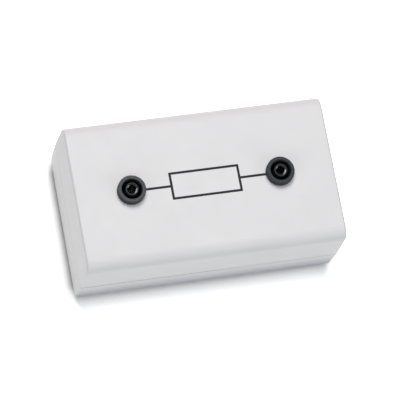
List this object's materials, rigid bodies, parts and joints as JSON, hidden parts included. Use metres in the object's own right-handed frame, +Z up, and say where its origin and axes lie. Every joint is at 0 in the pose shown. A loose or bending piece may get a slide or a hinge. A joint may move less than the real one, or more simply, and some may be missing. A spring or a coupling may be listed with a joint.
{
  "type": "precision resistor",
  "caption": "Precision resistor in a light two-shell plastic housing with black safety sockets in its top panel.",
  "frame": {"origin": "on the bench, under the middle of the housing", "axes": "+X from the left socket to the right one, +Y to the back, +Z up out of the socket panel"},
  "size_m": [0.1312, 0.0752, 0.0559],
  "materials": {
    "housing": "light grey moulded plastic, satin",
    "screw_steel": "zinc plated",
    "foot_rubber": "matt black",
    "socket_black": "black, half gloss",
    "contact_nickel": "nickel plated",
    "washer_steel": "bright",
    "nut_black": "black, satin",
    "tag_tin": "tin plated",
    "nut_nickel": "nickel plated",
    "core_ceramic": "unglazed",
    "film_oxide": "fired resistive glaze",
    "cap_steel": "tin plated",
    "coating_lacquer": "dipped lacquer",
    "lead_tin": "tin plated copper",
    "sleeve_plastic": "translucent white",
    "solder": "bright solder"
  },
  "bodies": {
    "root": {"upper_shell": "housing", "lower_shell": "housing", "housing_screws": "screw_steel", "rubber_feet": "foot_rubber", "left_socket_body": "socket_black", "right_socket_body": "socket_black", "left_socket_contact": "contact_nickel", "right_socket_contact": "contact_nickel", "left_lock_washer": "washer_steel", "right_lock_washer": "washer_steel", "left_barrel_nut": "nut_black", "right_barrel_nut": "nut_black", "left_solder_tag": "tag_tin", "right_solder_tag": "tag_tin", "left_stud_nut": "nut_nickel", "right_stud_nut": "nut_nickel", "resistor_core": "core_ceramic", "resistor_film": "film_oxide", "left_end_cap": "cap_steel", "right_end_cap": "cap_steel", "resistor_coating": "coating_lacquer", "left_lead": "lead_tin", "right_lead": "lead_tin", "left_lead_sleeve": "sleeve_plastic", "right_lead_sleeve": "sleeve_plastic", "left_solder_joint": "solder", "right_solder_joint": "solder"}
  },
  "joints": []
}
